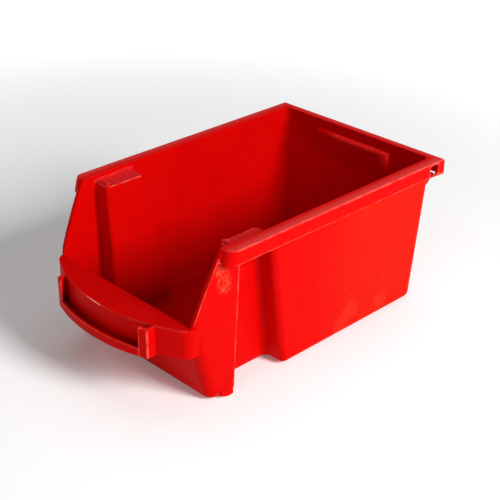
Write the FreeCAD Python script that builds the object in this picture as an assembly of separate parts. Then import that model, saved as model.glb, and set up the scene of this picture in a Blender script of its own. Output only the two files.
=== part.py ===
import FreeCAD
import Part
import math
import os

os.makedirs("parts", exist_ok=True)

# A stackable open-fronted storage bin, moulded in one shot of polypropylene.
# Frame: X across, -Y is the open front, Z up, z = 0 is the plane the bin stands on.

# Driving dimensions, mm
HEIGHT = 74.0
RIM_WIDTH = 104.0
RIM_BACK = 85.0
RIM_FRONT = -52.2
SIDE_FLANGE = 5.9
BACK_FLANGE = 4.5
FLANGE_T = 1.5
SKIRT_T = 1.5
SIDE_SKIRT = 6.8
REAR_SKIRT = 7.6
RIM_ROUND = 0.8
SKIRT_ROUND = 0.4
RIM_END_R = 4.4
RIM_END_LEAN = 2.0
WALL = 1.9
FLOOR_T = 2.0
FOOT_H = 1.0
SIDE_DRAFT = 2.3
BACK_DRAFT = 4.5
FRONT_LEAN = 15.9
FRONT_FOOT_Y = -56.8
PLAN_TAPER = 3.2
TAPER_START = -30.0
CORNER_R = 5.0
BASE_R = 3.0
INNER_R = 2.4
FRONT_TOP = 41.6
OPENING_FOOT = 1.1
OPENING_SAG = 0.6

RECESS_FRONT_TOP = -43.0
RECESS_FRONT_BASE = -44.0
RECESS_REAR_TOP = -25.7
RECESS_REAR_BASE = -14.2
RECESS_DEPTH_TOP = 9.2
RECESS_DEPTH_BASE = 10.9
RECESS_R = 2.4
RECESS_INNER_R = 2.0
RECESS_NOSE_R = 3.2
LEDGE_DROP = 3.3
STOP_H = 1.5
STOP_T = 1.8
STOP_W = 5.5
SLOT_W = 5.0
SLOT_L = 1.3
SLOT_D = 1.1

GRIP_BULGE = 12.435
GRIP_OVERHANG = 0.2
GRIP_T = 1.8
GRIP_BASE = 27.8
GRIP_SLOPE = 0.7
GRIP_CORNER_R = 5.5
HOLDER_DEPTH = 4.2
HOLDER_BASE = 26.9
HOLDER_TOP = 40.9
HOLDER_INSET = 21.4
HOLDER_T = 1.3
BOSS_W = 4.2
LIP_H = 3.8
SHELF_T = 1.2

EAR_FRONT = 74.0
EAR_HOLE_FRONT = 74.6
EAR_HOLE_L = 6.0
EAR_HOLE_DROP = 1.1
EAR_HOLE_H = 5.3
EAR_HOLE_R = 1.2
EAR_ROOT_H = 6.0
EAR_ROOT_OUT = 0.5
HOOK_HALF = 23.0
HOOK_DROP = 4.6
HOOK_PROUD = 1.9
HOOK_H = 17.0
HOOK_SINK = 0.5
HOOK_R = 1.7

FOOT_L = 3.3
FOOT_RAMP = 3.8
FOOT_W = 10.0
REAR_FOOT_Y = 62.0
REAR_FOOT_INSET = 7.0

BIG = 300.0

LEDGE_Z = HEIGHT - LEDGE_DROP
LEDGE_BASE = LEDGE_Z - WALL
HOLDER_HALF = RIM_WIDTH / 2 - HOLDER_INSET


def tan(degrees):
    return math.tan(math.radians(degrees))


def half_width(z, inset):
    return RIM_WIDTH / 2 - SIDE_FLANGE + WALL - (HEIGHT - z) * tan(SIDE_DRAFT) - inset


def back_line(z, inset):
    return RIM_BACK - BACK_FLANGE + WALL - (HEIGHT - z) * tan(BACK_DRAFT) - inset


def front_line(z, inset):
    return FRONT_FOOT_Y - (z - FOOT_H) * tan(FRONT_LEAN) + inset


def nose_width(y, z, inset):
    return half_width(z, inset) - (TAPER_START - y) * tan(PLAN_TAPER)


# The grip's front is an arc through the front wall's two upper corners.
GRIP_CHORD = nose_width(front_line(FRONT_TOP, 0), FRONT_TOP, 0) + GRIP_OVERHANG
GRIP_RADIUS = (GRIP_CHORD**2 + GRIP_BULGE**2) / (2 * GRIP_BULGE)
GRIP_FRONT = front_line(FRONT_TOP, 0) - GRIP_BULGE
GRIP_CENTRE = GRIP_FRONT + GRIP_RADIUS


def vec(x, y, z):
    return FreeCAD.Vector(x, y, z)


def box(x0, x1, y0, y1, z0, z1):
    return Part.makeBox(x1 - x0, y1 - y0, z1 - z0, vec(x0, y0, z0))


def polygon(points):
    return Part.makePolygon(points + [points[0]])


def loft(sections):
    return Part.makeLoft([polygon(points) for points in sections], True, True)


def side_prism(points, x0, x1):
    face = Part.Face(polygon([vec(x0, y, z) for y, z in points]))
    return face.extrude(vec(x1 - x0, 0, 0))


def mirrored(shape):
    return shape.mirror(vec(0, 0, 0), vec(1, 0, 0))


def rounded(shape, wanted, radius):
    edges = [e for e in shape.Edges if wanted(e)]
    return shape.makeFillet(radius, edges)


def middle(edge):
    return edge.CenterOfMass


def rise(edge):
    a, b = edge.Vertexes[0].Point, edge.Vertexes[-1].Point
    return abs(b.z - a.z)


def tub_plan(z, inset):
    side = half_width(z, inset)
    front = front_line(z, inset)
    nose = nose_width(front, z, inset)
    back = back_line(z, inset)
    right = [vec(nose, front, z), vec(side, TAPER_START, z), vec(side, back, z)]
    left = [vec(-p.x, p.y, z) for p in reversed(right)]
    return right + left


def tub_block(z0, z1, inset):
    return loft([tub_plan(z0, inset), tub_plan(z1, inset)])


def is_corner(edge):
    return rise(edge) > HEIGHT / 2 and not RECESS_FRONT_BASE - 1 < middle(edge).y < REAR_FOOT_Y / 2


def is_base(edge, z):
    return max(abs(v.Z - z) for v in edge.Vertexes) < 0.01


def recess_line(z, base, top):
    return base + (z - FOOT_H) / (LEDGE_BASE - FOOT_H) * (top - base)


def recess_deep(z):
    return half_width(z, 0) - recess_line(z, RECESS_DEPTH_BASE, RECESS_DEPTH_TOP)


def recess(grow):
    sections = []
    for z in (-1.0, LEDGE_BASE + grow):
        front = recess_line(z, RECESS_FRONT_BASE, RECESS_FRONT_TOP) - grow
        rear = recess_line(z, RECESS_REAR_BASE, RECESS_REAR_TOP) + grow
        deep, far = recess_deep(z) - grow, RIM_WIDTH
        sections.append([vec(deep, front, z), vec(far, front, z), vec(far, rear, z), vec(deep, rear, z)])
    return loft(sections)


def is_recess_corner(edge):
    return rise(edge) > HEIGHT / 2 and middle(edge).x < RIM_WIDTH / 2


def is_recess_nose(edge):
    m = middle(edge)
    outside = abs(m.x) > half_width(m.z, 0) - 0.3
    return rise(edge) > HEIGHT / 2 and outside and abs(m.y - (RECESS_REAR_BASE + RECESS_REAR_TOP) / 2) < 3


def tub_outside():
    solid = tub_block(FOOT_H, HEIGHT, 0.0)
    solid = rounded(solid, is_corner, CORNER_R)
    hole = rounded(recess(0.0), is_recess_corner, RECESS_R)
    solid = solid.cut(hole).cut(mirrored(hole))
    solid = rounded(solid, is_recess_nose, RECESS_NOSE_R)
    return rounded(solid, lambda e: is_base(e, FOOT_H), BASE_R)


def tub_inside():
    low = FOOT_H + FLOOR_T
    solid = tub_block(low, HEIGHT + 1.0, WALL)
    solid = rounded(solid, is_corner, CORNER_R - WALL)
    band = rounded(recess(WALL), is_recess_corner, RECESS_INNER_R)
    solid = solid.cut(band).cut(mirrored(band))
    return rounded(solid, lambda e: is_base(e, low), INNER_R)


def opening():
    top = HEIGHT + 5.0
    head = vec(-BIG, RIM_FRONT, HEIGHT)
    foot_point = vec(-BIG, front_line(FRONT_TOP, OPENING_FOOT), FRONT_TOP)
    run = foot_point - head
    crown = (head + foot_point) * 0.5 + vec(0, run.z, -run.y) * (OPENING_SAG / run.Length)
    corners = [head, vec(-BIG, RIM_FRONT, top), vec(-BIG, -BIG, top), vec(-BIG, -BIG, FRONT_TOP), foot_point]
    lines = [Part.makeLine(p, q) for p, q in zip(corners, corners[1:])]
    outline = Part.Wire(lines + [Part.Arc(foot_point, crown, head).toShape()])
    wedge = Part.Face(outline).extrude(vec(2 * BIG, 0, 0))
    reach = nose_width(front_line(FRONT_TOP, 0), FRONT_TOP, WALL)
    notch = box(-reach, reach, -BIG, front_line(FRONT_TOP, WALL) + CORNER_R, FRONT_TOP, top)
    return wedge.fuse(notch)


def rim_plan(z, inset):
    lean = (HEIGHT - z) * RIM_END_LEAN / SIDE_SKIRT
    half = RIM_WIDTH / 2 - inset
    radius = RIM_END_R - inset
    front = RIM_FRONT + inset - lean
    back = RIM_BACK - inset
    k = radius * math.sqrt(0.5)
    cx, cy = half - radius, front + radius
    arc_r = Part.Arc(vec(cx, front, z), vec(cx + k, cy - k, z), vec(half, cy, z)).toShape()
    arc_l = Part.Arc(vec(-half, cy, z), vec(-cx - k, cy - k, z), vec(-cx, front, z)).toShape()
    lines = [
        Part.makeLine(vec(half, cy, z), vec(half, back, z)),
        Part.makeLine(vec(half, back, z), vec(-half, back, z)),
        Part.makeLine(vec(-half, back, z), vec(-half, cy, z)),
    ]
    close = Part.makeLine(vec(-cx, front, z), vec(cx, front, z))
    return Part.Wire([arc_r, lines[0], lines[1], lines[2], arc_l, close])


def rim_block(z0, z1, inset):
    return Part.makeLoft([rim_plan(z0, inset), rim_plan(z1, inset)], True, True)


def rim_ring():
    low = HEIGHT - SIDE_SKIRT
    ring = rounded(rim_block(low, HEIGHT, 0.0), is_rim_edge, RIM_ROUND)
    ring = rounded(ring, is_skirt_edge, SKIRT_ROUND)
    top = HEIGHT - 2 * RIM_ROUND
    deep = [(EAR_FRONT, low), (RIM_BACK, HEIGHT - REAR_SKIRT), (RIM_BACK, top), (EAR_FRONT, top)]
    ring = ring.fuse(side_prism(deep, -RIM_WIDTH / 2, RIM_WIDTH / 2)).removeSplitter()
    return ring.cut(rim_block(low - 2, HEIGHT - FLANGE_T, SKIRT_T))


def is_rim_edge(edge):
    m = middle(edge)
    outer = abs(m.x) > RIM_WIDTH / 2 - RIM_END_R or m.y > RIM_BACK - 0.01
    return is_base(edge, HEIGHT) and outer


def is_skirt_edge(edge):
    m = middle(edge)
    side = abs(m.x) > RIM_WIDTH / 2 - RIM_END_R and m.y < EAR_FRONT
    return is_base(edge, HEIGHT - SIDE_SKIRT) and side and m.y > RIM_FRONT - RIM_END_LEAN + 0.01


def ear_hole():
    top = HEIGHT - EAR_HOLE_DROP
    x = RIM_WIDTH / 2
    hole = box(x - 3.5, x + 2.0, EAR_HOLE_FRONT, EAR_HOLE_FRONT + EAR_HOLE_L, top - EAR_HOLE_H, top)
    return rounded(hole, lambda e: abs(e.Vertexes[0].X - e.Vertexes[-1].X) > 5, EAR_HOLE_R)


def ear_root():
    low, top = HEIGHT - REAR_SKIRT - EAR_ROOT_H, HEIGHT - REAR_SKIRT
    sections = []
    for z, out in ((low, -1.2), (top, EAR_ROOT_OUT)):
        x, y = half_width(z, 0) + out, back_line(z, 0) + out
        x0, y0 = half_width(z, 0) - 2 * CORNER_R, EAR_FRONT + 2.0
        sections.append([vec(x0, y0, z), vec(x, y0, z), vec(x, y, z), vec(x0, y, z)])
    return loft(sections)


def hook_panel():
    z1 = HEIGHT - HOOK_DROP
    z0 = z1 - HOOK_H
    y1, y0 = back_line(z1, WALL), back_line(z0, WALL)
    outline = [(y1 - HOOK_PROUD, z1), (y0 + HOOK_SINK, z0), (y0 + 3 * WALL, z0), (y1 + 3 * WALL, z1)]
    panel = side_prism(outline, -HOOK_HALF, HOOK_HALF)
    return rounded(panel, is_hook_edge, HOOK_R).cut(slanted_zone(back_line, 0.0, 1.0))


def is_hook_edge(edge):
    m = middle(edge)
    front = m.y < back_line(m.z, WALL) + HOOK_SINK
    return front and m.z > HEIGHT - HOOK_DROP - HOOK_H + 0.1


def stop_corner():
    return recess_deep(LEDGE_Z) - WALL + 0.6, RECESS_FRONT_TOP - WALL + 0.5


def ledge_stop():
    x, y = stop_corner()
    block = box(x, x + STOP_W, y, y + STOP_T, LEDGE_BASE, LEDGE_Z + STOP_H)
    return rounded(block, lambda e: is_base(e, LEDGE_Z + STOP_H), 0.5)


def ledge_slot():
    x, y = stop_corner()
    y += STOP_T
    return box(x + 0.8, x + 0.8 + SLOT_W, y, y + SLOT_L, LEDGE_Z - SLOT_D, LEDGE_Z + 1.0)


def foot(x, y, tub):
    top = FOOT_H + BASE_R
    outline = [(y, 0.0), (y - FOOT_L, 0.0), (y - FOOT_L - FOOT_RAMP, FOOT_H + 0.6)]
    outline += [(y - FOOT_L - FOOT_RAMP, top), (y, top)]
    return side_prism(outline, x - FOOT_W, x).cut(tub)


def grip_sector(inset, z0, z1):
    front, back = GRIP_FRONT - CORNER_R, front_line(FRONT_TOP, -CORNER_R) + 2 * CORNER_R
    sections = []
    for z in (z0, z1):
        near, far = nose_width(back, z, inset), nose_width(front, z, inset)
        sections.append([vec(near, back, z), vec(far, front, z), vec(-far, front, z), vec(-near, back, z)])
    disc = Part.makeCylinder(GRIP_RADIUS - inset, z1 - z0, vec(0, GRIP_CENTRE, z0))
    return loft(sections).common(disc)


def below_flange(drop):
    front = GRIP_FRONT
    back = front_line(FRONT_TOP, 0)
    outline = [
        (front - 9, 0),
        (front - 9, FRONT_TOP - GRIP_SLOPE * (back - front + 9) / (back - front) - drop),
        (back, FRONT_TOP - drop),
        (back + 20, FRONT_TOP - drop),
        (back + 20, 0),
    ]
    return side_prism(outline, -BIG, BIG)


def is_grip_corner(edge):
    return rise(edge) > 10 and middle(edge).y < front_line(FRONT_TOP, WALL)


def grip(tub):
    outer = grip_sector(0.0, GRIP_BASE, FRONT_TOP)
    outer = rounded(outer, is_grip_corner, GRIP_CORNER_R).common(below_flange(0.0))
    hollow = grip_sector(GRIP_T, GRIP_BASE - 5, FRONT_TOP)
    hollow = hollow.common(below_flange(GRIP_T))
    solid = outer.cut(tub)
    flange = solid.cut(below_flange(GRIP_T))
    skirt = solid.common(below_flange(GRIP_T)).cut(hollow)
    return flange, skirt


def holder_ring(z0, z1, depth_out, depth_in):
    outer = Part.makeCylinder(GRIP_RADIUS, z1 - z0, vec(0, GRIP_CENTRE - depth_out, z0))
    inner = Part.makeCylinder(GRIP_RADIUS, z1 - z0, vec(0, GRIP_CENTRE - depth_in, z0))
    return outer.cut(inner)


def label_lip():
    half = HOLDER_HALF - BOSS_W
    wall = holder_ring(HOLDER_BASE, HOLDER_BASE + LIP_H, HOLDER_DEPTH, HOLDER_DEPTH - HOLDER_T)
    shelf = holder_ring(HOLDER_BASE, HOLDER_BASE + SHELF_T, HOLDER_DEPTH, 0.0)
    lip = wall.fuse(shelf).common(box(-half, half, -BIG, 0, 0, HEIGHT))
    return lip.removeSplitter()


def label_boss():
    half = HOLDER_HALF
    block = holder_ring(HOLDER_BASE, HOLDER_TOP, HOLDER_DEPTH, 0.0)
    block = block.common(box(half - BOSS_W, half, -BIG, 0, 0, HEIGHT))
    block = rounded(block, is_boss_edge, 1.0)
    slot = holder_ring(HOLDER_BASE + SHELF_T, HEIGHT, HOLDER_DEPTH - HOLDER_T, 0.0)
    slot = slot.common(box(half - BOSS_W - 1, half - HOLDER_T, -BIG, 0, 0, HEIGHT))
    return block.cut(slot)


def is_boss_edge(edge):
    m = middle(edge)
    front = math.hypot(m.x, m.y - GRIP_CENTRE + HOLDER_DEPTH) > GRIP_RADIUS - 0.3
    outer_side = rise(edge) > 10 and m.x > HOLDER_HALF - 0.5
    top = is_base(edge, HOLDER_TOP)
    return front and (outer_side or top)


def slanted_zone(line, offset, sign):
    low, top = -5.0, HEIGHT + 5.0
    y0, y1 = line(low, WALL) + offset, line(top, WALL) + offset
    return side_prism([(y1, top), (sign * BIG, top), (sign * BIG, low), (y0, low)], -BIG, BIG)


def recess_slab(grow):
    outline = []
    for z in (-5.0, HEIGHT + 5.0):
        front = recess_line(z, RECESS_FRONT_BASE, RECESS_FRONT_TOP) - grow
        rear = recess_line(z, RECESS_REAR_BASE, RECESS_REAR_TOP) + grow
        outline += [(front, z), (rear, z)] if z < 0 else [(rear, z), (front, z)]
    return side_prism(outline, -BIG, BIG)


def take(rest, zone):
    return rest.common(zone), rest.cut(zone)


def halves(shape):
    right = shape.common(box(0.0, BIG, -BIG, BIG, -BIG, BIG))
    left = shape.common(box(-BIG, 0.0, -BIG, BIG, -BIG, BIG))
    return left, right


def add_pair(pieces, name, shape):
    pieces["left_" + name], pieces["right_" + name] = halves(shape)


def rim_pieces(pieces, rim):
    rear, sides = take(rim, box(-BIG, BIG, EAR_FRONT, BIG, -BIG, BIG))
    add_pair(pieces, "side_rim", sides)
    inner = RIM_WIDTH / 2 - SIDE_FLANGE - 2.0
    middle_part, ears = take(rear, box(-inner, inner, -BIG, BIG, -BIG, BIG))
    add_pair(pieces, "rear_ear", ears)
    zone = box(-BIG, BIG, -BIG, BIG, HEIGHT - FLANGE_T, BIG)
    pieces["rear_rim"], pieces["rear_hanging_lip"] = take(middle_part, zone)


def tub_pieces(pieces, shell):
    pieces["floor"], rest = take(shell, box(-BIG, BIG, -BIG, BIG, -BIG, FOOT_H + FLOOR_T))
    pieces["back_wall"], rest = take(rest, slanted_zone(back_line, -CORNER_R, 1.0))
    pieces["front_wall"], rest = take(rest, slanted_zone(front_line, CORNER_R, -1.0))
    panels, rest = take(rest, recess_slab(WALL + 1.4))
    ledge_zone = box(-BIG, BIG, -BIG, BIG, LEDGE_BASE, BIG)
    ledges, panels = take(panels, ledge_zone)
    add_pair(pieces, "stacking_ledge", ledges)
    add_pair(pieces, "recess_panel", panels)
    pillars, sides = take(rest, box(-BIG, BIG, -BIG, TAPER_START, -BIG, BIG))
    add_pair(pieces, "front_pillar", pillars)
    add_pair(pieces, "side_wall", sides)


def build():
    tub = tub_outside()
    inner = tub_inside()
    cuts = opening()
    hole, slot, root = ear_hole(), ledge_slot(), ear_root()
    holes = hole.fuse(mirrored(hole))
    slots = slot.fuse(mirrored(slot))
    tub = tub.fuse(root).fuse(mirrored(root))
    stop = ledge_stop()
    stops = stop.fuse(mirrored(stop))
    shell = tub.cut(inner).cut(cuts).cut(slots).cut(stops)
    zone = box(-BIG, BIG, -BIG, BIG, HEIGHT - FLANGE_T, BIG)
    wall_top, shell = take(shell, zone)
    ring = rim_ring().cut(tub).cut(inner).cut(cuts).cut(holes)
    pieces = {}
    rim_pieces(pieces, ring.fuse(wall_top).removeSplitter())
    tub_pieces(pieces, shell)
    pieces["front_flange"], pieces["grip_skirt"] = grip(tub)
    pieces["label_lip"] = label_lip()
    boss = label_boss()
    pieces["right_label_boss"], pieces["left_label_boss"] = boss, mirrored(boss)
    pieces["right_ledge_stop"], pieces["left_ledge_stop"] = stop, mirrored(stop)
    pieces["rear_hook_panel"] = hook_panel()
    add_feet(pieces, tub)
    return pieces


def add_feet(pieces, tub):
    y = RECESS_FRONT_BASE - 0.3
    front = foot(nose_width(y, FOOT_H, 0), y, tub)
    rear = foot(half_width(FOOT_H, REAR_FOOT_INSET), REAR_FOOT_Y, tub)
    pieces["right_front_foot"], pieces["left_front_foot"] = front, mirrored(front)
    pieces["right_rear_foot"], pieces["left_rear_foot"] = rear, mirrored(rear)


def write(pieces):
    for name in sorted(pieces):
        shape = pieces[name]
        solids = shape.Solids
        print(name, len(solids), "solid", round(shape.Volume), "mm3", "valid" if shape.isValid() else "INVALID")
        solids[0].exportStep("parts/" + name + ".step")


write(build())
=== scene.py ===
# %% [markdown]
# # A stackable storage bin in red polypropylene
# The bin is one injection moulding: a tub with a wide rim, two ledges that carry the bin above, and
# a curved grip with a label pocket. Its shape comes from the CAD frame, where each region of the
# moulding is a solid of its own. Those walls could be modelled again in Blender, but they already
# meet face to face, so the work here goes into the plastic, the light and the view.

# %% Load the fixed frame
import math

import bpy
import bmesh
from mathutils import Matrix, Vector

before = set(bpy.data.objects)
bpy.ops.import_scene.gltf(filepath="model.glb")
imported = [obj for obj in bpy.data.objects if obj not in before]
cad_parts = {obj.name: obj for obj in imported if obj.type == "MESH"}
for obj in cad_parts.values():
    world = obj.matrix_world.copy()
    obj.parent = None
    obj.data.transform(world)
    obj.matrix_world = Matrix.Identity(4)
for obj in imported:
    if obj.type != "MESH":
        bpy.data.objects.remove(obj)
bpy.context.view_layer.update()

print("nodes of the moulding:", len(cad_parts))

# %% [markdown]
# ## The camera
# A small bin is best seen from about half a metre away through a short telephoto lens, so that its
# long sides converge only slightly. A Track To constraint could aim the camera, but a rotation
# matrix also holds the small roll of a hand-held one.

# %% Set the camera from its bearing, height angle and roll
BEARING, RISE, ROLL = math.radians(45.51), math.radians(27.83), math.radians(0.38)
CAMERA_PLACE = Vector((0.34274, -0.32795, 0.28730))
FOCAL_LENGTH, SENSOR_WIDTH = 83.0, 36.0
CLIP_NEAR, CLIP_FAR = 0.01, 50.0


def camera_axes(bearing, rise, roll):
    back = Vector((
        math.sin(bearing) * math.cos(rise),
        -math.cos(bearing) * math.cos(rise),
        math.sin(rise),
    ))
    right = Vector((math.cos(bearing), math.sin(bearing), 0.0))
    up = back.cross(right)
    turned = right * math.cos(roll) + up * math.sin(roll)
    return Matrix((turned, back.cross(turned), back)).transposed()


camera_data = bpy.data.cameras.new("product_camera")
camera_data.lens = FOCAL_LENGTH
camera_data.sensor_width = SENSOR_WIDTH
camera_data.clip_start, camera_data.clip_end = CLIP_NEAR, CLIP_FAR
camera = bpy.data.objects.new("product_camera", camera_data)
bpy.context.scene.collection.objects.link(camera)
turn = camera_axes(BEARING, RISE, ROLL).to_4x4()
camera.matrix_world = Matrix.Translation(CAMERA_PLACE) @ turn
bpy.context.scene.camera = camera

# %% [markdown]
# ## Shader sums as plain expressions
# A procedural plastic needs many small sums on masks. Wiring each Math node by hand would hide the
# idea, so a tiny class wraps a socket: adding, subtracting or multiplying two of them adds the node.
# Every other node comes from its one method, `make`.


# %% One class for sockets, one method for any other node
class Wire:
    def __init__(self, tree, socket):
        self.tree, self.socket = tree, socket

    def make(self, kind, settings, values, output=0):
        node = self.tree.nodes.new(kind)
        for name, value in settings.items():
            setattr(node, name, value)
        for name, value in values.items():
            if isinstance(value, Wire):
                self.tree.links.new(value.socket, node.inputs[name])
            else:
                node.inputs[name].default_value = value
        return Wire(self.tree, node.outputs[output])

    def sum(self, operation, a, b):
        return self.make("ShaderNodeMath", {"operation": operation}, {0: a, 1: b})

    def __add__(self, other):
        return self.sum("ADD", self, other)

    def __radd__(self, other):
        return self.sum("ADD", other, self)

    def __sub__(self, other):
        return self.sum("SUBTRACT", self, other)

    def __rsub__(self, other):
        return self.sum("SUBTRACT", other, self)

    def __mul__(self, other):
        return self.sum("MULTIPLY", self, other)

    def __rmul__(self, other):
        return self.sum("MULTIPLY", other, self)


print("a socket can now be added, subtracted and multiplied")

# %% [markdown]
# ## Soft steps and mixes
# A mask is 1 where a mark is and 0 elsewhere, with a soft border. A Color Ramp could give that
# border, but a smooth Map Range says its two ends in plain numbers. Masks are joined by adding them
# and holding the total at 1, and two colours are mixed by a mask, because a Math node would turn a
# colour grey.


# %% Steps, joined masks and mixed colours
def step(value, low, high):
    limits = {"From Min": low, "From Max": high, "To Min": 0.0, "To Max": 1.0, "Value": value}
    return value.make("ShaderNodeMapRange", {"interpolation_type": "SMOOTHSTEP"}, limits)


def fall(value, low, high):
    return 1.0 - step(value, low, high)


def band(value, low, high, soft):
    return step(value, low - soft, low + soft) * fall(value, high - soft, high + soft)


def capped(mask):
    return mask.make("ShaderNodeClamp", {}, {"Value": mask, "Min": 0.0, "Max": 1.0})


def either(masks):
    total = masks[0]
    for mask in masks[1:]:
        total = total + mask
    return capped(total)


def colour_mix(mask, low, high):
    settings = {"data_type": "RGBA"}
    return mask.make("ShaderNodeMix", settings, {0: mask, 6: low, 7: high}, output=2)


print("mask helpers ready")

# %% [markdown]
# ## Where a point is on the bin
# Wear depends on the place: the rim's top, a ledge, a corner. An unwrapped map could carry it, but
# every region of the bin shares one set of Object coordinates, so the place itself serves as the
# map. It is turned into millimetres, which are easier to think in for a small moulding.

# %% A place in millimetres, with noise and distances
MM_PER_METRE = 1000.0
OFFSET_WAY = Vector((1.0, 0.7, -1.0))


class Place:
    def __init__(self, tree):
        metres = Wire(tree, tree.nodes.new("ShaderNodeTexCoord").outputs["Object"])
        values = {0: metres, "Scale": MM_PER_METRE}
        self.point = metres.make("ShaderNodeVectorMath", {"operation": "SCALE"}, values)
        self.x, self.y, self.z = [self.axis(number) for number in range(3)]
        self.side = self.x.sum("ABSOLUTE", self.x, 0.0)

    def axis(self, number):
        return self.point.make("ShaderNodeSeparateXYZ", {}, {0: self.point}, number)

    def vector(self, operation, a, b, output=0):
        settings = {"operation": operation}
        return self.point.make("ShaderNodeVectorMath", settings, {0: a, 1: b}, output)

    def noise(self, size, detail, offset=0.0):
        values = {"Vector": self.point, "Scale": 1.0 / size, "Detail": detail}
        if offset:
            values["Vector"] = self.vector("ADD", self.point, tuple(OFFSET_WAY * offset))
        return self.point.make("ShaderNodeTexNoise", {"normalize": True}, values)

    def distance(self, keep, centre):
        reach = self.vector("MULTIPLY", self.point, keep)
        return self.vector("DISTANCE", reach, centre, 1)


# %% [markdown]
# ## The floor
# The bin stands on white paper, which could be a curved backdrop. A flat sheet looks the same from
# every side, and it doesn't need to end behind the bin. The paper glows faintly near the bin and
# more further out, so that it stays pale where the lamps don't reach.

# %% Lay the white paper
FLOOR_HALF = 6.0
PAPER_WHITE = (0.95, 0.95, 0.95, 1.0)
PAPER_ROUGHNESS, PAPER_GLOSS = 0.9, 0.1
GLOW_START, GLOW_FULL = 200.0, 700.0
GLOW_NEAR, GLOW_FAR = (0.10, 0.10, 0.10, 1.0), (0.90, 0.90, 0.90, 1.0)
ON_PLAN = (1.0, 1.0, 0.0)


def white_paper():
    paper = bpy.data.materials.new("white_paper")
    paper.use_nodes = True
    shader = paper.node_tree.nodes["Principled BSDF"]
    shader.inputs["Base Color"].default_value = PAPER_WHITE
    shader.inputs["Roughness"].default_value = PAPER_ROUGHNESS
    shader.inputs["Specular IOR Level"].default_value = PAPER_GLOSS
    shader.inputs["Emission Strength"].default_value = 1.0
    away = Place(paper.node_tree).distance(ON_PLAN, (0.0, 0.0, 0.0))
    glow = colour_mix(step(away, GLOW_START, GLOW_FULL), GLOW_NEAR, GLOW_FAR)
    paper.node_tree.links.new(glow.socket, shader.inputs["Emission Color"])
    return paper


bm = bmesh.new()
bmesh.ops.create_grid(bm, x_segments=1, y_segments=1, size=FLOOR_HALF)
floor_mesh = bpy.data.meshes.new("paper_floor")
bm.to_mesh(floor_mesh)
bm.free()
floor_mesh.materials.append(white_paper())
paper_floor = bpy.data.objects.new("paper_floor", floor_mesh)
bpy.context.scene.collection.objects.link(paper_floor)
print("paper floor,", 2 * FLOOR_HALF, "m across")

# %% [markdown]
# ## The sky and the lights
# One soft box on the bin's right does most of the lighting: it shines over the right wall, fades
# down the inside of the left one, and leaves the faces towards the front a deeper red. A sun would
# cut hard shadows into the tub, so area lights are used. The sky is bright only near the horizon,
# so the surroundings stay pale in low views without flooding the tub. The Standard view keeps the
# red as strong as the pigment.

# %% Hang the sky and the soft boxes
BIN_CENTRE = Vector((0.0, 0.0, 0.04))
HORIZON = (0.02, 0.16)
SKY_LOW, SKY_HIGH = (0.85, 0.85, 0.85, 1.0), (0.03, 0.03, 0.03, 1.0)


def pale_sky():
    world = bpy.data.worlds.new("studio")
    world.use_nodes = True
    tree = world.node_tree
    direction = Wire(tree, tree.nodes.new("ShaderNodeTexCoord").outputs["Generated"])
    height = direction.make("ShaderNodeSeparateXYZ", {}, {0: direction}, 2)
    colour = colour_mix(step(height, *HORIZON), SKY_LOW, SKY_HIGH)
    tree.links.new(colour.socket, tree.nodes["Background"].inputs["Color"])
    bpy.context.scene.world = world


def soft_box(name, place, size, power):
    light = bpy.data.lights.new(name, "AREA")
    light.shape = "SQUARE"
    light.size = size
    light.energy = power
    lamp = bpy.data.objects.new(name, light)
    bpy.context.scene.collection.objects.link(lamp)
    lamp.location = Vector(place)
    lamp.rotation_euler = (BIN_CENTRE - lamp.location).to_track_quat("-Z", "Y").to_euler()
    return lamp


pale_sky()
lamps = [
    soft_box("key_box", (1.2, 0.15, 0.76), 0.5, 25.0),
    soft_box("top_box", (-0.2, 0.5, 1.6), 1.6, 6.6),
    soft_box("front_box", (0.3, -1.2, 0.9), 1.0, 3.4),
]
bpy.context.scene.view_settings.view_transform = "Standard"
print("lights:", [(lamp.name, round(lamp.data.energy, 1)) for lamp in lamps])

# %% [markdown]
# ## Rubbed and sheened tops
# Bins slide on each other, so the top of the rim and the two ledges are rubbed pale, the rim most of
# all towards its outer edge. Their pink is partly that wear and partly a painted reflection of the
# bright surroundings on these upward faces. The rubbing could be painted by hand on each bin. Masks
# that follow the heights of the moulding give the same bands on both sides and leave the walls
# alone.

# %% Masks for the tops of the rim and the ledges
RIM_HALF, RIM_BACK, RIM_TOP = 52.0, 85.0, 74.0
RIM_INNER, RIM_INNER_BACK = 46.1, 80.5
LEDGE_TOP, LEDGE_INNER, LEDGE_FRONT, LEDGE_REAR = 70.7, 36.8, -44.9, -23.8
STOP_RISE = 1.6
BESIDE_LEDGE, AGAINST_WALL = (35.0, 36.0), (46.4, 46.9)


def rim_top(at):
    return step(at.z, RIM_TOP - 0.5, RIM_TOP - 0.05)


def rim_outward(at):
    sideways = (at.side - RIM_INNER) * (1.0 / (RIM_HALF - RIM_INNER))
    backwards = (at.y - RIM_INNER_BACK) * (1.0 / (RIM_BACK - RIM_INNER_BACK))
    return capped(sideways.sum("MAXIMUM", sideways, backwards))


def ledge_top(at):
    flat = band(at.z, LEDGE_TOP - 0.15, LEDGE_TOP + STOP_RISE, 0.1)
    along = band(at.y, LEDGE_FRONT - 1.0, LEDGE_REAR + 1.0, 1.0)
    return flat * along * fall(at.side, *AGAINST_WALL) * step(at.side, *BESIDE_LEDGE)


print("ledges are", round(RIM_TOP - LEDGE_TOP, 1), "mm under the rim")

# %% [markdown]
# ## The outside of the tub
# Some marks belong on the tub's outer skin only: the mottle and the painted warm sheen on the right
# wall, the scuff, and the edge lines of the front pillars, partly wear and partly painted highlight.
# A vertex group can't pick the skin out, because the mesh of a node is left as it comes. The skin is
# a slanted plane that turns in towards the front, so a mask a fraction of a millimetre thick can
# follow it.

# %% A mask for the tub's outer skin
SKIN_HALF, SKIN_DRAFT = 48.0, 0.0402
NOSE_START, NOSE_TAPER = -30.0, 0.0559
SKIN_UNDER, SKIN_OVER = -0.30, 0.55


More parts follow.
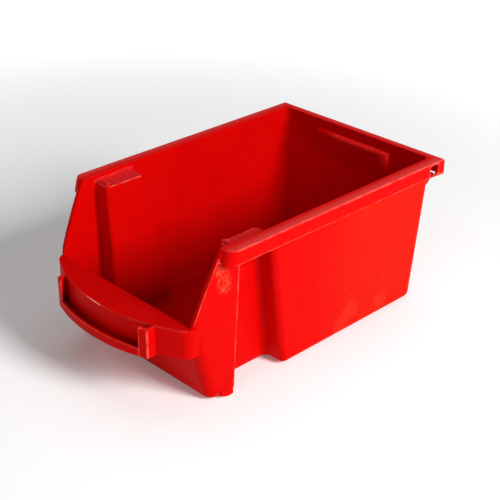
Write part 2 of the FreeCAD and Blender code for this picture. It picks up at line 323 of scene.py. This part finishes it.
def tub_skin(at):
    ahead = NOSE_START - at.y
    turned_in = ahead.sum("MAXIMUM", ahead, 0.0) * NOSE_TAPER
    skin = SKIN_HALF - (RIM_TOP - at.z) * SKIN_DRAFT - turned_in
    return band(at.side - skin, SKIN_UNDER, SKIN_OVER, 0.15)


print("the skin draws in by", round(RIM_TOP * SKIN_DRAFT, 2), "mm from rim to floor")

# %% [markdown]
# ## Bright edges of the rim and the pillars
# Handling wears the outer edges a little paler, and their rounding catches the lamps, so each edge
# is painted as a thin pale line that is partly wear and partly painted highlight. The line under
# the rim's skirt and the outline of the ear hole are painted highlights only. A Bevel or Pointiness
# node could find edges by itself, but it would mark the hidden joints between regions as well. Each
# real edge gets its own mask: a shoulder is where two distances add up to their largest value.

# %% Masks for the rim's shoulders and the opening's edge
SKIRT_LOW = 67.2
SKIRT_FACE, EAR_FACE = (50.5, 51.0), (51.2, 51.6)
EAR_HOLE_Y, EAR_HOLE_Z = (74.1, 81.1), (67.1, 73.4)
OPENING_CENTRE, OPENING_RADIUS = (0.0, 181.2, -54.4), 266.5
IN_SIDE_VIEW = (0.0, 1.0, 1.0)
FRONT_TOP, OPENING_TOP = 41.6, 70.0
PILLAR_END = (-52.0, -50.0)
RECESS_CORNER, RECESS_LEAN, RECESS_TOP = (-44.5, -43.8), 0.0147, (66.0, 67.0)


def rim_edges(at):
    beside = RIM_HALF + RIM_TOP
    behind = RIM_BACK + RIM_TOP
    under = RIM_HALF - SKIRT_LOW
    # Shoulders: wear and painted highlight; the hem and the hole outline: painted highlight.
    shoulder_side = step(at.side + at.z, beside - 0.75, beside - 0.50)
    shoulder_back = step(at.y + at.z, behind - 0.75, behind - 0.50)
    hem = step(at.side - at.z, under - 0.65, under - 0.35)
    hole = band(at.y, *EAR_HOLE_Y, 0.1) * band(at.z, *EAR_HOLE_Z, 0.1)
    skirt, ear = step(at.side, *SKIRT_FACE), step(at.side, *EAR_FACE)
    return [shoulder_side, shoulder_back, hem * skirt, hole * ear]


def pillar_edges(at, skin):
    # The opening's edge and the recess corner: wear and painted highlight.
    gap = at.distance(IN_SIDE_VIEW, OPENING_CENTRE)
    slope = step(gap, OPENING_RADIUS - 0.6, OPENING_RADIUS - 0.3)
    slope = slope * band(at.z, FRONT_TOP, OPENING_TOP, 0.5) * fall(at.y, *PILLAR_END)
    corner = band(at.y - at.z * RECESS_LEAN, *RECESS_CORNER, 0.15) * fall(at.z, *RECESS_TOP)
    return [slope * skin, corner * skin]


print("opening's edge has a radius of", OPENING_RADIUS, "mm")

# %% [markdown]
# ## Bright edges of the grip and the label holder
# The crescent above the grip and the label holder in front of it share one arc, so their edges are
# found by the distance from the arc's centre. These lines too are partly wear and partly painted
# highlight. The crescent has one longer bright stretch left of the middle, where hands and other
# bins touch it most.

# %% Masks for the crescent, the label lip and its bosses
GRIP_RADIUS, GRIP_CENTRE_Y, LIP_CENTRE_Y = 86.96, 6.16, 1.96
GRIP_TOP, LIP_TOP = 40.9, 30.7
BOSS_LOW, BOSS_TOP, BOSS_INNER, BOSS_OUTER = 26.9, 40.9, 26.4, 30.6
LIP_END, AHEAD_OF_WALL = (26.0, 26.5), (-62.0, -60.0)
BRIGHT_BROW, BROW_QUIET = (-9.7, 0.7), 0.25
LIP_SHARE = 0.6


def holder_edges(at, ahead):
    # Boss, cap, lip and brow lines: wear and painted highlight.
    ring = at.distance(ON_PLAN, (0.0, LIP_CENTRE_Y, 0.0))
    ring = step(ring, GRIP_RADIUS - 0.6, GRIP_RADIUS - 0.3) * ahead
    inner = band(at.side, BOSS_INNER - 0.4, BOSS_INNER + 0.35, 0.1)
    outer = band(at.side, BOSS_OUTER - 0.7, BOSS_OUTER + 0.1, 0.15)
    posts = (inner + outer) * band(at.z, BOSS_LOW, BOSS_TOP + 1.0, 0.3)
    caps = band(at.z, BOSS_TOP - 0.35, BOSS_TOP + 0.4, 0.1)
    caps = caps * band(at.side, BOSS_INNER, BOSS_OUTER, 0.2)
    lip = band(at.z, LIP_TOP - 0.4, LIP_TOP + 0.3, 0.1) * fall(at.side, *LIP_END)
    return [posts * ring, caps * ring, lip * ring * LIP_SHARE]


def grip_edges(at):
    ahead = fall(at.y, *AHEAD_OF_WALL)
    arc = at.distance(ON_PLAN, (0.0, GRIP_CENTRE_Y, 0.0))
    brow = step(arc, GRIP_RADIUS - 0.55, GRIP_RADIUS - 0.25)
    brow = brow * band(at.z, GRIP_TOP - 0.5, GRIP_TOP + 0.6, 0.15) * ahead
    bright = BROW_QUIET + (1.0 - BROW_QUIET) * band(at.x, *BRIGHT_BROW, 0.5)
    return holder_edges(at, ahead) + [brow * bright]


print("grip's arc has a radius of", GRIP_RADIUS, "mm")

# %% [markdown]
# ## Bright edges of the ledges and the hook panel
# Inside the tub, the lips of the ledges and the shoulder of the raised panel on the back wall catch
# the light from above. They could be left to the lights, but a soft box is too wide to draw so thin
# a line on a small radius.

# %% Masks for the ledges and the hook panel
LEDGE_LIP_END = 46.0
HOOK_TOP, HOOK_DEPTH = 69.4, (76.5, 79.6)
HOOK_ACROSS, HOOK_END, HOOK_END_LOW = (-14.0, 18.0), (18.2, 22.6), 58.0


def ledge_edges(at):
    # The ledges' lip lines are painted highlights.
    high = band(at.z, LEDGE_TOP - 0.5, LEDGE_TOP + 0.3, 0.15)
    inner = band(at.side, LEDGE_INNER - 0.4, LEDGE_INNER + 0.4, 0.15)
    inner = inner * band(at.y, LEDGE_FRONT, LEDGE_REAR, 0.5)
    front = band(at.y, LEDGE_FRONT - 0.4, LEDGE_FRONT + 0.4, 0.15)
    front = front * band(at.side, LEDGE_INNER, LEDGE_LIP_END, 0.5)
    return [high * inner, high * front]


def hook_shoulder(at):
    # The panel's shoulder is a painted highlight.
    across = band(at.x, *HOOK_ACROSS, 5.0) * band(at.z, HOOK_TOP - 2.4, HOOK_TOP + 0.2, 0.8)
    end = step(at.z, HOOK_END_LOW, HOOK_TOP - 1.0) * fall(at.z, HOOK_TOP - 0.5, HOOK_TOP)
    end = end * band(at.x, *HOOK_END, 1.4)
    return capped(across + end) * band(at.y, *HOOK_DEPTH, 0.4)


print("hook panel reaches", HOOK_TOP, "mm")

# %% [markdown]
# ## Knocks, glints and scratches
# A used bin has small pale nicks where a corner was hit, and a scratch or two. The spots on the
# stops at the front of the ledges are painted glints where their corners catch the light, and the
# two on the right pillar's edge are partly a nick and partly a painted glint. The nicks could be cut
# into the mesh, but at this size only their colour shows. A nick or glint is a small ball of colour
# around a point, and a scratch is the space close to a short line.

# %% Spots, scratches and where they are
NICK_GLINT_RADIUS, SCRATCH_WIDTH = 0.45, 0.40
# First two: right pillar, partly a nick and partly a painted glint; the rest: painted glints on the
# ledge stops.
NICKS_AND_GLINTS = [
    (46.5, -54.7, 70.1), (46.8, -54.0, 68.3),
    (-39.3, -42.5, 71.8), (-37.9, -39.0, 71.8), (-37.2, -41.5, 70.7),
    (39.4, -43.1, 72.0), (41.1, -40.7, 72.0), (42.9, -43.0, 71.0),
]
SCRATCHES = [
    ((11.6, 78.3, 69.3), (14.4, 78.3, 70.4)),
    ((-16.5, 78.3, 69.2), (-14.5, 78.3, 69.4)),
    ((-8.0, -80.4, 40.9), (-3.4, -80.6, 40.9)),
    ((-3.4, -80.6, 40.9), (1.5, -80.8, 40.8)),
]


def spot(at, centre, radius):
    gap = at.vector("DISTANCE", at.point, centre, 1)
    return fall(gap, radius * 0.5, radius * 1.2)


def scratch(at, start, end, width):
    reach = Vector(end) - Vector(start)
    along = tuple(reach.normalized())
    arm = at.vector("SUBTRACT", at.point, start)
    run = at.vector("DOT_PRODUCT", arm, along, 1)
    run = run.make("ShaderNodeClamp", {}, {"Value": run, "Min": 0.0, "Max": reach.length})
    near = run.make("ShaderNodeVectorMath", {"operation": "SCALE"}, {0: along, "Scale": run})
    gap = at.vector("DISTANCE", arm, near, 1)
    return fall(gap, width * 0.3, width)


print("nicks:", len(NICKS_AND_GLINTS), "scratches:", len(SCRATCHES))

# %% [markdown]
# ## The pigment and a painted sheen
# Polypropylene is coloured through, and its red drifts a little over a wall, with darker flecks
# where the pigment clumped. One flat colour would look like paint. Two noises of different size give
# the drift and the flecks. On the right wall a grainy mottle spreads towards the back, with a warmer
# tone over it that is a painted sheen of the key light.

# %% Drift, flecks, the mottle and a painted warm sheen
CLOUD, FLECK, BLOOM, GRAIN = (24.0, 3.0), (1.1, 2.0), (9.0, 5.0, 31.0), (0.9, 2.0, 5.0)
DEEP_RED, FULL_RED = (0.530, 0.0008, 0.0006, 1.0), (0.565, 0.0012, 0.0008, 1.0)
FLECK_RED, FLECK_SHARE = (0.490, 0.0008, 0.0006, 1.0), 0.30
# The warm red is a painted sheen of the key light on the back of the right wall.
SHADY_RED, WARM_SHEEN_RED = (0.430, 0.0030, 0.0006, 1.0), (0.570, 0.0100, 0.0010, 1.0)
RIGHT_HALF, MOTTLE_RISE, MOTTLE_WANDER = (20.0, 30.0), (4.0, 46.0), 14.0


def plain_pigment(cloud, fleck):
    pigment = colour_mix(step(cloud, 0.3, 0.7), DEEP_RED, FULL_RED)
    return colour_mix(step(fleck, 0.52, 0.75) * FLECK_SHARE, pigment, FLECK_RED)


def mottled_and_sheened(pigment, at, skin, bloom):
    # Lays a darker grain and, towards the back of the right wall, a warmer painted sheen of the key
    # light.
    grain = step(at.noise(*GRAIN), 0.36, 0.64)
    mottle = step(at.x, *RIGHT_HALF) * skin
    mottle = mottle * step(at.y + MOTTLE_WANDER * bloom, *MOTTLE_RISE)
    pigment = colour_mix(mottle * (1.0 - grain) * 0.5, pigment, SHADY_RED)
    return colour_mix(mottle * (0.15 + 0.85 * grain), pigment, WARM_SHEEN_RED)


print("pigment drifts over", CLOUD[0], "mm and flecks over", FLECK[0], "mm")

# %% [markdown]
# ## Chalk and the scuff
# Low on the right wall the red has a chalky bloom, and under the front end of the right rim another
# bin has rubbed a pale scuff. Either could be a painted decal. Both are thin and cloudy, though, so
# a mask with noise in it suits them better and lets the red through. The bloom is duller too, so
# its mask is kept for the roughness.

# %% Chalky patches and a rubbed scuff
CHALK = [((45.5, 29.7, 11.8), 6.0), ((45.2, 23.4, 6.1), 5.0), ((45.6, 51.6, 8.4), 5.0)]
CHALK_RED, CHALK_SHARE, BLOOM_SHARE = (0.62, 0.060, 0.030, 1.0), 0.30, 0.03
SCUFF = ((46.8, -53.0, 64.0), (46.4, -50.5, 55.5), 4.5)
SCUFF_RED, SCUFF_SHARE, SCUFF_NOISE = (0.64, 0.075, 0.035, 1.0), 0.75, (1.3, 5.0, 17.0)


def chalky(at, fleck, bloom):
    patches = either([spot(at, centre, radius) for centre, radius in CHALK])
    haze = patches * CHALK_SHARE + step(bloom, 0.60, 0.80) * BLOOM_SHARE
    return haze * step(fleck, 0.30, 0.65)


def scuffed(pigment, at, skin):
    scuff = scratch(at, *SCUFF) * step(at.noise(*SCUFF_NOISE), 0.34, 0.70)
    return colour_mix(scuff * skin * SCUFF_SHARE, pigment, SCUFF_RED)


print("chalky patches:", len(CHALK))

# %% [markdown]
# ## Pale tops, edges, nicks and glints
# The wear and the painted light go on in layers: first the tops, where wear meets a painted
# reflection, then the edges, where wear meets painted highlights, then the nicks and painted glints,
# which lie over everything. All the masks could be added into one, but then every mark would have
# the same colour. Each layer mixes its own paler red over the one before it.

# %% Lay the wear and the painted light over the pigment
# Pale tops: wear with a painted reflection of the bright surroundings on upward faces.
RIM_RED, RIM_PALE_SHEEN = (0.64, 0.007, 0.007, 1.0), (0.640, 0.042, 0.039, 1.0)
# Edge lines: wear and painted highlight where the rounded edges catch the lamps.
LEDGE_PALE_SHEEN, EDGE_WEAR_AND_HIGHLIGHT = (0.64, 0.024, 0.030, 1.0), (0.84, 0.090, 0.070, 1.0)
# Hook shoulder: a painted highlight. Nick colour: nicks and painted glints.
HOOK_HIGHLIGHT, NICK_GLINT_PALE = (0.90, 0.022, 0.018, 1.0), (0.85, 0.36, 0.33, 1.0)
EDGE_NOISE, NICK_GLINT_SHARE = (4.0, 4.0, 13.0), 0.7


def rubbed_and_sheened(pigment, at, top, ledge, fleck):
    # The tops get wear with a painted reflection of the bright surroundings laid over it.
    rim = colour_mix(step(rim_outward(at), 0.15, 0.65), RIM_RED, RIM_PALE_SHEEN)
    pigment = colour_mix(top * (0.60 + 0.40 * step(fleck, 0.25, 0.6)), pigment, rim)
    return colour_mix(ledge * (0.25 + 0.4 * step(fleck, 0.35, 0.6)), pigment, LEDGE_PALE_SHEEN)


def edged(pigment, at, skin):
    # Edges get wear and painted highlight; the hook panel's shoulder gets painted highlight only.
    patchy = step(at.noise(*EDGE_NOISE), 0.38, 0.60)
    edge = either(rim_edges(at) + pillar_edges(at, skin) + grip_edges(at) + ledge_edges(at))
    pigment = colour_mix(edge * (0.15 + 0.60 * patchy), pigment, EDGE_WEAR_AND_HIGHLIGHT)
    return colour_mix(hook_shoulder(at) * (0.55 + 0.35 * patchy), pigment, HOOK_HIGHLIGHT)


def nicked_and_glinting(pigment, at, fleck):
    # Spots on the ledge stops are painted glints, the pillar's spots partly so; the scratches are
    # wear.
    marks = [spot(at, place, NICK_GLINT_RADIUS) for place in NICKS_AND_GLINTS]
    lines = [scratch(at, start, end, SCRATCH_WIDTH) for start, end in SCRATCHES]
    marks += [line * step(fleck, 0.30, 0.50) for line in lines]
    return colour_mix(either(marks) * NICK_GLINT_SHARE, pigment, NICK_GLINT_PALE)


# The tops, edges and nicks also carry a painted reflection, painted highlights and painted glints.
print("wear goes on in the order tops, edges, nicks")

# %% [markdown]
# ## Red polypropylene
# Polypropylene is softer and waxier than a shiny plastic: its highlights are broad, the pigment is
# deep, and handling leaves a pale bloom. A clear coat would make it look lacquered, so the gloss is
# kept low, and a changing roughness and a very fine bump break up the light. All regions of the bin
# take this one material, so the pattern runs across their joints without a line.

# %% Make the plastic and set it on every region
ROUGHNESS, ROUGHNESS_CLOUD, ROUGHNESS_WORN = 0.34, 0.10, 0.14
BUMP_NOISE, BUMP_DISTANCE, BUMP_STRENGTH = (0.5, 2.0, 7.0), 0.00006, 0.6
PLASTIC_GLOSS = 0.02


def red_plastic():
    material = bpy.data.materials.new("red_polypropylene")
    material.use_nodes = True
    tree = material.node_tree
    shader = tree.nodes["Principled BSDF"]
    at = Place(tree)
    cloud, fleck, bloom = at.noise(*CLOUD), at.noise(*FLECK), at.noise(*BLOOM)
    skin, top, ledge, haze = tub_skin(at), rim_top(at), ledge_top(at), chalky(at, fleck, bloom)
    pigment = mottled_and_sheened(plain_pigment(cloud, fleck), at, skin, bloom)
    pigment = colour_mix(haze, pigment, CHALK_RED)
    # The tops get a painted reflection, the edges painted highlights, the nicks painted glints,
    # besides wear.
    pigment = rubbed_and_sheened(scuffed(pigment, at, skin), at, top, ledge, fleck)
    pigment = nicked_and_glinting(edged(pigment, at, skin), at, fleck)
    rough = ROUGHNESS + ROUGHNESS_CLOUD * cloud + ROUGHNESS_WORN * capped(top + ledge + haze)
    height = 0.6 * at.noise(*BUMP_NOISE) + 0.8 * cloud
    values = {"Height": height, "Distance": BUMP_DISTANCE, "Strength": BUMP_STRENGTH}
    bump = height.make("ShaderNodeBump", {}, values)
    tree.links.new(pigment.socket, shader.inputs["Base Color"])
    tree.links.new(rough.socket, shader.inputs["Roughness"])
    tree.links.new(bump.socket, shader.inputs["Normal"])
    shader.inputs["Specular IOR Level"].default_value = PLASTIC_GLOSS
    return material


red = red_plastic()
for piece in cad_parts.values():
    for slot in piece.material_slots:
        slot.material = red
print("plastic of", len(red.node_tree.nodes), "nodes on", len(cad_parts), "regions")
